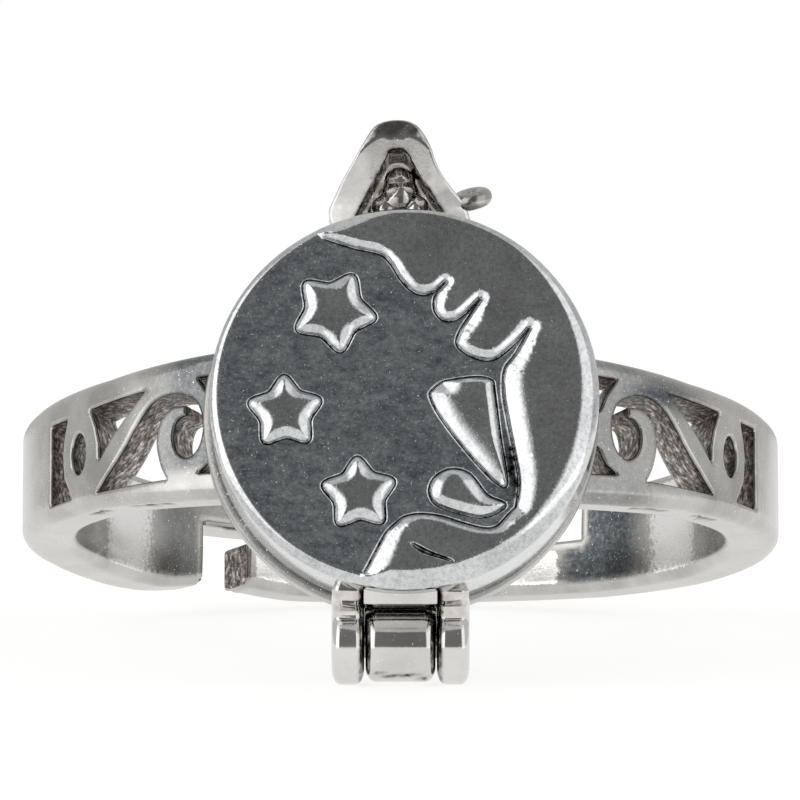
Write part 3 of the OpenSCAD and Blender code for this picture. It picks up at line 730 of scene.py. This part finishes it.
outer, outerTris, outerPlaces, plainSide, outerMarks = bandSkin(ring["bandR"], True, band["edgeR"])
inner, innerTris, innerPlaces, _, innerMarks = bandSkin(ring["fingerR"], False, band["innerEdgeR"])
points = [outer, inner]
faces = [tuple(t) for t in outerTris] + [tuple(t + len(outer)) for t in innerTris]
faceFinish = [0] * len(faces)
bandMarks = {key: [outerMarks[key], innerMarks[key]] for key in outerMarks}
count = len(outer) + len(inner)
railShares = (0.08, 0.16, 0.2, 0.24, 0.28, 0.32, 0.36, 0.4, 0.46, 0.6, 0.8)
for k, (one, two) in enumerate(zip(outerPlaces, innerPlaces)):    # first the outline, then the openings
    top, bottom = outer[one], inner[two]
    rows = [one]
    for share in (0.2, 0.4, 0.6, 0.8) if k else railShares:
        line = top + (bottom - top) * share
        lap = np.zeros(len(line))
        if k:    # the walls of the openings are left uneven
            for p in line:
                p += 0.022 * np.array(noise.noise_vector(Vector(p * 2.6)))
        else:
            lap = lapDepth(np.degrees(np.arctan2(line[:, 0], -line[:, 1])), share) * (line[:, 2] < -0.8)
            line[:, 2] += 0.07 * lap
        points.append(line)
        bandMarks["patinaAndShadeMask"].append(lap)
        for key in ("paintedShade", "paintedGlare"):
            bandMarks[key].append(np.zeros(len(line)))
        rows.append(np.arange(count, count + len(line)))
        count += len(line)
    rows.append(two + len(outer))
    faces += quadsBetween(rows)
    faceFinish += ([1] * len(one) if k else [0 if plain else 1 for plain in plainSide]) * (len(rows) - 1)
bandPiece = makePiece("pierced_band", np.vstack(points), faces, "ring_body", [bandSilver, cutSilver],
                      faceFinish, {key: np.concatenate(values) for key, values in bandMarks.items()})
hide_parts("band_and_cup")


# The wedges of solder and metal that seat the cup on the band

seat = {"across": 5.15, "from": 1.8, "half": 1.75, "innerR": 10.4, "backF": 10.4, "edge": 0.25, "arc": (0.17, 0.515)}


def twoSkins(tris, count):    # a sheet twice, the second turned over
    return [tuple(t) for t in tris] + [tuple(t[::-1] + count) for t in tris]


def slab(loop, low, high, edgeR, step=0.12):    # a flat shape with rounded edges, given thickness
    loop = evenSteps(loop, step)
    area = (loop[:, 0] * np.roll(loop[:, 1], -1) - np.roll(loop[:, 0], -1) * loop[:, 1]).sum()
    if area < 0:
        loop = loop[::-1]
    flat, tris, places = sheet((loop, roundRows(edgeR)), [], [], (0.3, 0.3), edgeR * 0.9)
    d, _ = distanceTo(flat, loop)
    drop = roundOver(d, edgeR)
    points = np.vstack([np.column_stack([flat, high - drop]), np.column_stack([flat, low + drop])])
    return points, twoSkins(tris, len(flat)) + quadsBetween([places[0], places[0] + len(flat)])


points, faces = [], []
for side in (-1, 1):
    arc = [(side * seat["innerR"] * math.sin(a), -seat["innerR"] * math.cos(a))
           for a in np.linspace(*seat["arc"], 12)]
    corners = [(side * seat["from"], -seat["backF"]), (side * seat["across"], -seat["backF"])]
    p, f = slab(np.array(corners + arc[::-1]), -seat["half"], seat["half"], seat["edge"])
    faces += [tuple(i + sum(len(q) for q in points) for i in t) for t in f]
    points.append(p)
makePiece("cup_seat", np.vstack(points), faces, "ring_body", [bandSilver])


# The hinge: a knuckle on the cup, between two ears on the lid

hinge = {
    "knuckleR": 0.99, "knuckleHalf": 0.945, "endReach": 0.3, "endDeep": 0.38, "steps": 128,
    "boreR": 0.385, "boreHalf": 0.88, "boreMouthR": 0.4, "squarer": 0.65,
    "webHalf": 0.974, "webRearF": 10.34, "webFrontF": 10.9, "webLowUp": -6.5, "webTopUp": -5.0,
    "earIn": 0.975, "earOut": 1.86, "earEnd": 0.24, "earDeep": 0.42,
}
drop, jointF, knuckleR = ring["hingeDrop"], ring["splitF"], hinge["knuckleR"]
left = [(knuckleR - hinge["endDeep"] * (1 - math.sin(math.radians(a))),
         hinge["endReach"] * (1 - math.cos(math.radians(a))) - hinge["knuckleHalf"])
        for a in (0, 12, 24, 36, 48, 60, 72, 81, 90)]
profile = left + [(knuckleR, -0.3), (knuckleR, 0.3)] + [(r, -x) for r, x in left[::-1]]
mouthX = hinge["knuckleHalf"] - 0.02
profile += [(hinge["boreMouthR"], mouthX), (hinge["boreR"], hinge["boreHalf"]), (hinge["boreR"], -hinge["boreHalf"]),
            (hinge["boreMouthR"], -mouthX)]
points, faces = turnedShape(profile + profile[:1], hinge["steps"], lambda up, f, x: (x, up - drop, f + jointF))
last = hinge["steps"] * len(profile)    # the last row is the first one again
points = np.array(points[:last])
faces = [tuple(i % last for i in f[::-1]) for f in faces]
up, forth = points[:, 1] + drop, points[:, 2] - jointF
r = np.hypot(up, forth)
squarer = 1 - hinge["squarer"] * np.clip(up / r, 0, 1) ** 2    # the top corners are left sharper than the rest
fuller = np.where(r > 0.45, (knuckleR - (knuckleR - r) * squarer) / r, 1)
points[:, 1], points[:, 2] = up * fuller - drop, forth * fuller + jointF
fromMiddle = np.abs(points[:, 0])
# tarnish and painted shade on the upper part of the knuckle's ends, next to the ears
tarnishAndGapShade = fade(fromMiddle, 0.9, 0.94) * fade(up / r, -0.75, 1 / 12)
lapAt = -0.9 + 0.035 * np.sin(7 * points[:, 0]) + 0.02 * np.sin(17 * points[:, 0])    # a cold lap along the bottom
lap = np.exp(-((up - lapAt) / 0.03) ** 2) * (forth > 0) * fade(fromMiddle, 0.75, 0.65)
makePiece("knuckle", fromFront(points), faces, "ring_body", [wornSilver],
          marks={"patinaAndShadeMask": np.maximum(tarnishAndGapShade, lap)})
half, rearF, frontF = hinge["webHalf"], hinge["webRearF"], hinge["webFrontF"]
points, faces = slab(np.array([(-half, rearF), (half, rearF), (half, frontF), (-half, frontF)]),
                     hinge["webLowUp"], hinge["webTopUp"], 0.08)
# the web is darkened all over: painted shade behind the gaps beside the knuckle
makePiece("knuckle_web", fromFront(points[:, [0, 2, 1]]), faces, "ring_body", [bandSilver],
          marks={"patinaAndShadeMask": np.full(len(points), 1.0)})

earLoop = [(jointF + ring["earR"] * math.cos(math.radians(a)), ring["earR"] * math.sin(math.radians(a)) - drop)
           for a in range(32, -268, -6)]
earLoop += [(11.36, -5.25), (11.36, -4.9), (12.98, -4.9), (13.0, -5.2), (12.78, -5.4), (12.42, -5.5),
            (12.24, -5.68)]
earLoop = evenSteps(np.array(earLoop)[::-1], 0.06)
earRows = [hinge["earDeep"] * share for share in (0.02, 0.07, 0.16, 0.3, 0.5, 0.75, 1)]
for name, side in (("left_ear", -1), ("right_ear", 1)):
    flat, tris, places = sheet((earLoop, earRows), [], [], (0.12, 0.12), 0.1)
    half = (hinge["earOut"] - hinge["earIn"]) / 2
    thick = half - roundOver(distanceTo(flat, earLoop)[0], hinge["earDeep"], hinge["earEnd"])
    centre = side * (hinge["earIn"] + half)
    points = np.vstack([np.column_stack([centre + face * thick, flat[:, 1], flat[:, 0]]) for face in (1, -1)])
    faces = twoSkins(tris, len(flat)) + quadsBetween([places[0], places[0] + len(flat)])
    # solder has run down the front of each ear from the lid
    wet = fade(points[:, 1], -5.85, -5.6) * fade(points[:, 2], 11.8, 12.2)
    for i, p in enumerate(points):
        if wet[i] > 0:
            push = np.array(noise.noise_vector(Vector(p * (1.8, 4.6, 3) + side)))
            points[i] = p + wet[i] * np.array([0.25 * push[0], 0.5 * push[1], 0.9 * push[2] - 0.25]) * 0.09
    points[:, 0] = side * np.clip(side * points[:, 0], hinge["earIn"], hinge["earOut"])
    faceFinish = [1 if np.mean([wet[i] for i in f]) > 0.4 else 0 for f in faces]
    # tarnish and painted shade on the ears' inner sides, next to the knuckle
    tarnishAndGapShade = fade(side * points[:, 0], hinge["earIn"] + 0.17, hinge["earIn"] + 0.11)
    makePiece(name, fromFront(points), faces, "cover", [wornSilver, solderSilver], faceFinish,
              {"patinaAndShadeMask": tarnishAndGapShade})
# the plate between the ears, whose lower front edge is chamfered
plate = {"half": 0.99, "rearF": 12.2, "frontF": 13.15, "topUp": -5.0, "breakUp": -5.13, "lowUp": -5.5, "lowF": 12.78}
loop = np.array([(plate["rearF"], plate["topUp"]), (plate["frontF"], plate["topUp"]),
                 (plate["frontF"], plate["breakUp"]), (plate["lowF"], plate["lowUp"]),
                 (plate["rearF"], plate["lowUp"])])
points, faces = slab(loop, -plate["half"], plate["half"], 0.05, 0.05)
makePiece("hinge_plate", fromFront(points[:, [2, 1, 0]]), faces, "cover", [wornSilver])
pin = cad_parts["hinge_pin"]
pin.data.materials.clear()
pin.data.materials.append(wireSilver)


# The clasp strip, a bent strip whose front edge is rounded over, and the catch under it

strip = {
    "frontF": 12.88, "rearF": 10.97, "lidF": 11.36, "lidR": 5.52, "edge": 0.05, "rearEdge": 0.12,
    "lean": 0.33, "leanLow": 0.37, "leanFrom": 6.2, "crestUp": 7.3, "legTurn": 0.24,
    "bevel": 0.43, "bevelTop": 0.54, "bevelLeg": 0.06, "bevelFrom": 6.95, "bevelTo": 7.8,
    "wear": 0.14, "wallDarkening": 0.35,
}
stripOuter = [
    (1.88, 4.95), (1.88, 5.3), (1.74, 5.66), (1.42, 6.02), (1.13, 6.38), (0.94, 6.75), (0.8, 7.15), (0.52, 7.6),
    (0.24, 7.78), (-0.08, 7.83), (-0.4, 7.79), (-0.71, 7.64), (-0.95, 7.3), (-1.25, 6.78), (-1.58, 6.24),
    (-1.8, 5.82), (-1.93, 5.55), (-1.93, 5.3), (-1.8, 4.95),
]
stripInner = [
    (-1.3, 4.95), (-1.18, 5.35), (-0.84, 5.95), (-0.4, 6.78), (-0.3, 6.95), (-0.14, 7.02), (0.04, 7.02),
    (0.18, 6.93), (0.3, 6.74), (0.72, 6.02), (1.16, 5.38), (1.34, 4.95),
]
outerLine, innerLine = throughKnots(stripOuter, 3), throughKnots(stripInner, 3)
loop = evenSteps(np.vstack([outerLine, innerLine]), 0.06)
# the outer edge is dressed back to a bevel, broadest at the crest
ahead = np.gradient(outerLine, axis=0)
inwards = np.column_stack([-ahead[:, 1], ahead[:, 0]]) / np.hypot(*ahead.T)[:, None]
crest = fade(outerLine[:, 1], strip["bevelFrom"], strip["bevelTo"]) ** 1.4
broad = strip["bevelLeg"] + (strip["bevelTop"] - strip["bevelLeg"]) * crest
breakLine = outerLine + inwards * broad[:, None]
faceLoop = np.vstack([breakLine, innerLine])
shownBreak = breakLine[(outerLine[:, 1] > strip["bevelFrom"]) & isInside(breakLine, loop)]
flat, tris, places = sheet((loop, [0.01, 0.03, 0.06, 0.1, 0.16, 0.22]), [],
                           [(evenSteps(shownBreak, 0.05, False), [0.03, 0.06], False)], (0.12, 0.12), 0.08)
dOut, dIn, dBreak = (distanceTo(flat, line, False)[0] for line in (outerLine, innerLine, breakLine))
inBevel = np.where(isInside(flat, faceLoop), 0, dBreak)
across, up = flat.T
front = strip["frontF"] + strip["lean"] * (np.maximum(up, strip["leanFrom"]) - strip["crestUp"])
front = front + strip["leanLow"] * np.minimum(up - strip["leanFrom"], 0)    # the face leans down to the lid
front = front - strip["legTurn"] * np.maximum(np.abs(across) - 0.8, 0) * fade(up, 6.9, 5.6)
front = front - strip["bevel"] * np.where(inBevel < 0.08, inBevel ** 2 / 0.16, inBevel - 0.04)
front = front - np.maximum(roundOver(dOut, strip["edge"]), roundOver(dIn, strip["edge"]))
rear = strip["rearF"] + roundOver(np.minimum(dOut, dIn), strip["rearEdge"])
away = np.hypot(across - ring["cupMiddle"][0], up - ring["cupMiddle"][1])
rear = np.where(away < strip["lidR"], np.maximum(rear, strip["lidF"]), rear)    # it is cut away over the cup
points = np.vstack([np.column_stack([flat, front]), np.column_stack([flat, rear])])
rows, count, made = [places[0]], len(points), [points]
for share in (0.12, 0.3, 0.5, 0.7, 0.88):
    a, b = points[places[0]], points[places[0] + len(flat)]
    made.append(a + (b - a) * share)
    rows.append(np.arange(count, count + len(a)))
    count += len(a)
faces = twoSkins(tris, len(flat)) + quadsBetween(rows + [places[0] + len(flat)])
# darker along the inner edge, a painted dark reflection on the bevel of the crest, an even film of tarnish all over,
# and darker walls
crestDarkReflection = 0.5 * fade(inBevel, 0, 0.1) * fade(up, 7, 7.3)
tarnishAndShade = np.maximum(np.maximum(np.exp(-(dIn / 0.09) ** 2) * 0.9, crestDarkReflection), strip["wear"])
tarnishAndShade = np.concatenate([tarnishAndShade, np.zeros(len(flat)), np.full(count - 2 * len(flat), strip["wallDarkening"])])
makePiece("clasp_strip", fromFront(np.vstack(made)), faces, "cover", [wornSilver],
          marks={"patinaAndShadeMask": tarnishAndShade})

catch = {    # lumps of solder: across, up, forward, radius
    "lumps": [(-0.02, 6.06, 11.2, 0.54), (-0.02, 6.45, 11.25, 0.42), (-0.42, 5.74, 11.2, 0.38),
              (0.4, 5.74, 11.2, 0.36), (-0.02, 5.5, 10.95, 0.42), (-0.02, 5.1, 10.8, 0.35),
              (-0.04, 6.75, 10.32, 0.55), (-0.4, 6.25, 10.35, 0.54), (0.36, 6.25, 10.35, 0.54),
              (-0.7, 5.75, 10.37, 0.52), (0.66, 5.75, 10.37, 0.52), (-0.02, 5.7, 10.4, 0.5)],
    "voxel": 0.04, "rough": 0.048, "wavesPerMm": (1.8, 4.2),
}
knob = bmesh.new()
for x, up, f, r in catch["lumps"]:
    made = bmesh.ops.create_icosphere(knob, subdivisions=3, radius=r / 1000)
    bmesh.ops.translate(knob, verts=made["verts"], vec=Vector(atRest(fromFront([(x, up, f)]))[0]))
mesh = bpy.data.meshes.new("catch_knob")
knob.to_mesh(mesh)
knob.free()
catchPiece = putInScene("catch_knob", mesh)
remesh = catchPiece.modifiers.new("melt", "REMESH")
remesh.mode = "VOXEL"
remesh.voxel_size = catch["voxel"] / 1000
remesh.use_smooth_shade = True
melted = settle(catchPiece)
coarse, fine = (waves * 1000 for waves in catch["wavesPerMm"])
for v in melted.vertices:
    push = noise.noise(v.co * coarse) + 0.3 * noise.noise(v.co * fine)
    v.co += v.normal * push * catch["rough"] / 1000
melted.materials.clear()
melted.materials.append(solderSilver)
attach(catchPiece, "ring_body")


# The small wire loop beside the clasp: a wire swept round a circle

wireLoop = {"at": (1.93, 5.88, 11.7), "ringR": 0.33, "wireR": 0.24, "turn": -30, "nod": 62,
            "around": 64, "across": 24}
tree = bpy.data.node_groups.new("wireRoundCircle", "GeometryNodeTree")
tree.interface.new_socket("Geometry", in_out="OUTPUT", socket_type="NodeSocketGeometry")
sizes = {}
for label, value in (("Ring radius", wireLoop["ringR"]), ("Wire radius", wireLoop["wireR"])):
    socket = tree.interface.new_socket(label, in_out="INPUT", socket_type="NodeSocketFloat")
    sizes[socket.identifier] = value / 1000
given = addNode(tree, "NodeGroupInput")
path, wire = (addNode(tree, "GeometryNodeCurvePrimitiveCircle", {
    "Resolution": wireLoop[steps], "Radius": given.outputs[label]}).outputs["Curve"]
    for steps, label in (("around", "Ring radius"), ("across", "Wire radius")))
swept = addNode(tree, "GeometryNodeCurveToMesh", {"Curve": path, "Profile Curve": wire})
real = addNode(tree, "GeometryNodeRealizeInstances", {"Geometry": swept.outputs["Mesh"]})
coated = addNode(tree, "GeometryNodeSetMaterial", {"Geometry": real.outputs["Geometry"], "Material": wireSilver})
addNode(tree, "NodeGroupOutput", {"Geometry": coated.outputs["Geometry"]})
holder = putInScene("wire_loop", bpy.data.meshes.new("wire_loop"))
sweep = holder.modifiers.new("sweep", "NODES")
sweep.node_group = tree
for identifier, value in sizes.items():
    sweep[identifier] = value
plain = settle(holder)
co = np.array([tuple(v.co) for v in plain.vertices]) * 1000
turn, nod = math.radians(wireLoop["turn"]), math.radians(wireLoop["nod"])
x, up, f = co.T
up, f = up * math.cos(nod) + f * math.sin(nod), -up * math.sin(nod) + f * math.cos(nod)
x, f = x * math.cos(turn) + f * math.sin(turn), -x * math.sin(turn) + f * math.cos(turn)
co = np.column_stack([x, up, f]) + wireLoop["at"]
plain.vertices.foreach_set("co", atRest(fromFront(co)).astype(np.float32).ravel())
plain.update()
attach(holder, "cover")


# Table, light and camera

def between(tree, angle, low, high, soft):    # one inside the range, nought outside, with a soft edge
    up, down = (addNode(tree, "ShaderNodeMapRange", {
        "Value": angle, "From Min": math.radians(a), "From Max": math.radians(b)},
        interpolation_type="SMOOTHSTEP").outputs["Result"]
        for a, b in ((low - soft, low + soft), (high + soft, high - soft)))
    return addNode(tree, "ShaderNodeMath", {0: up, 1: down}, operation="MULTIPLY").outputs[0]


def aroundFront(tree, across, back):    # angle away from the front, the same to either side
    front = addNode(tree, "ShaderNodeMath", {0: back, 1: -1}, operation="MULTIPLY").outputs[0]
    azimuth = addNode(tree, "ShaderNodeMath", {0: across, 1: front}, operation="ARCTAN2").outputs[0]
    return addNode(tree, "ShaderNodeMath", {0: azimuth}, operation="ABSOLUTE").outputs[0]


stage = {
    "floor": "#8c8c8a", "floorR": 0.12, "sides": 64,    # in metres, as are the three distances below
    "glow": 0.82, "wingGlow": 1.5, "wingFrom": 27, "wingTo": 80, "wingSoft": 5, "centreBack": 0.004,
    "wingNear": 0.024, "wingFar": 0.031,
}
floorMesh = bpy.data.meshes.new("floor")
rim = [(stage["floorR"] * math.cos(a), stage["floorR"] * math.sin(a), 0)
       for a in np.linspace(0, 2 * math.pi, stage["sides"] + 1)[:-1]]
floorMesh.from_pydata(rim, [], [tuple(range(stage["sides"]))])
floor = putInScene("floor", floorMesh)
finish, tree = newFinish("pale_board")
matt = addNode(tree, "ShaderNodeBsdfDiffuse", {"Color": hexColour(stage["floor"])})
# the board is lit from below, and more so in front to the left and right, where the relief mirrors it
place = addNode(tree, "ShaderNodeTexCoord").outputs["Object"]
spot = addNode(tree, "ShaderNodeSeparateXYZ", {"Vector": place})
back = addNode(tree, "ShaderNodeMath", {0: spot.outputs["Y"], 1: stage["centreBack"]}, operation="ADD").outputs[0]
wing = between(tree, aroundFront(tree, spot.outputs["X"], back), stage["wingFrom"], stage["wingTo"],
               stage["wingSoft"])
reach = addNode(tree, "ShaderNodeVectorMath", {0: place}, operation="LENGTH").outputs["Value"]
beyond = addNode(tree, "ShaderNodeMapRange", {
    "Value": reach, "From Min": stage["wingNear"], "From Max": stage["wingFar"]}).outputs["Result"]
wing = addNode(tree, "ShaderNodeMath", {0: wing, 1: beyond}, operation="MULTIPLY").outputs[0]
glow = addNode(tree, "ShaderNodeMapRange", {
    "Value": wing, "To Min": stage["glow"], "To Max": stage["wingGlow"]}).outputs["Result"]
lit = addNode(tree, "ShaderNodeEmission", {"Color": (1, 1, 1, 1), "Strength": glow})
both = addNode(tree, "ShaderNodeAddShader", {0: matt.outputs[0], 1: lit.outputs[0]})
addNode(tree, "ShaderNodeOutputMaterial", {"Surface": both.outputs[0]})
floorMesh.materials.append(finish)

# The studio is a white tent, bright at its sides, with one dark opening above and behind the camera
tent = {
    "white": 0.68, "dark": 0.19, "side": 1.8, "rightSide": 1.25, "seen": 1.0,
    "darkHalf": 23, "darkLow": -7, "darkHigh": 74, "soft": 3,
    "sideFrom": 29, "sideTo": 84, "sideSoft": 4, "sideLow": -5, "sideHigh": 50, "sideHighSoft": 6,
}
world = bpy.data.worlds.new("tent")
bpy.context.scene.world = world
world.use_nodes = True
tree = world.node_tree
tree.nodes.clear()
way = addNode(tree, "ShaderNodeTexCoord").outputs["Generated"]
part = addNode(tree, "ShaderNodeSeparateXYZ", {"Vector": way})
azimuth = aroundFront(tree, part.outputs["X"], part.outputs["Y"])
rise = addNode(tree, "ShaderNodeMath", {0: part.outputs["Z"]}, operation="ARCSINE").outputs[0]
darkPart = addNode(tree, "ShaderNodeMath", {
    0: between(tree, azimuth, -99, tent["darkHalf"], tent["soft"]),
    1: between(tree, rise, tent["darkLow"], tent["darkHigh"], tent["soft"])}, operation="MULTIPLY").outputs[0]
sidePart = addNode(tree, "ShaderNodeMath", {
    0: between(tree, azimuth, tent["sideFrom"], tent["sideTo"], tent["sideSoft"]),
    1: between(tree, rise, tent["sideLow"], tent["sideHigh"], tent["sideHighSoft"])}, operation="MULTIPLY").outputs[0]
onRight = addNode(tree, "ShaderNodeMath", {0: part.outputs["X"], 1: 0.0}, operation="GREATER_THAN").outputs[0]
side = addNode(tree, "ShaderNodeMapRange", {
    "Value": onRight, "To Min": tent["side"], "To Max": tent["rightSide"]}).outputs["Result"]
level = addNode(tree, "ShaderNodeMix", {0: sidePart, 2: tent["white"], 3: side}).outputs[0]
level = addNode(tree, "ShaderNodeMix", {0: darkPart, 2: level, 3: tent["dark"]}).outputs[0]
seen = addNode(tree, "ShaderNodeLightPath").outputs["Is Camera Ray"]
level = addNode(tree, "ShaderNodeMix", {0: seen, 2: level, 3: tent["seen"]}).outputs[0]
light = addNode(tree, "ShaderNodeBackground", {"Color": (1, 1, 1, 1), "Strength": level})
addNode(tree, "ShaderNodeOutputWorld", {"Surface": light.outputs[0]})

# The camera keeps the photograph's angle to the ring
view = {"distance": 250, "below": 11.0, "focalPixels": 8815, "width": 800, "ringDown": 90, "across": -0.014,
        "sensor": 36}
rise = restTilt - math.radians(view["below"])
ringMiddle = atRest([(0, 0, 0.1)])[0]
cameraData = bpy.data.cameras.new("camera")
cameraData.sensor_width = view["sensor"]
cameraData.lens = view["focalPixels"] / view["width"] * view["sensor"]
cameraData.clip_start, cameraData.clip_end = 0.01, 20
camera = putInScene("camera", cameraData)
away = view["distance"] / 1000
camera.location = (view["across"] / 1000, ringMiddle[1] - away * math.cos(rise),
                   ringMiddle[2] + away * math.sin(rise))
camera.rotation_euler = (math.pi / 2 - rise + math.atan(view["ringDown"] / view["focalPixels"]), 0, 0)
bpy.context.scene.camera = camera
bpy.context.scene.view_settings.view_transform = "Standard"
print("stage, light and camera made")
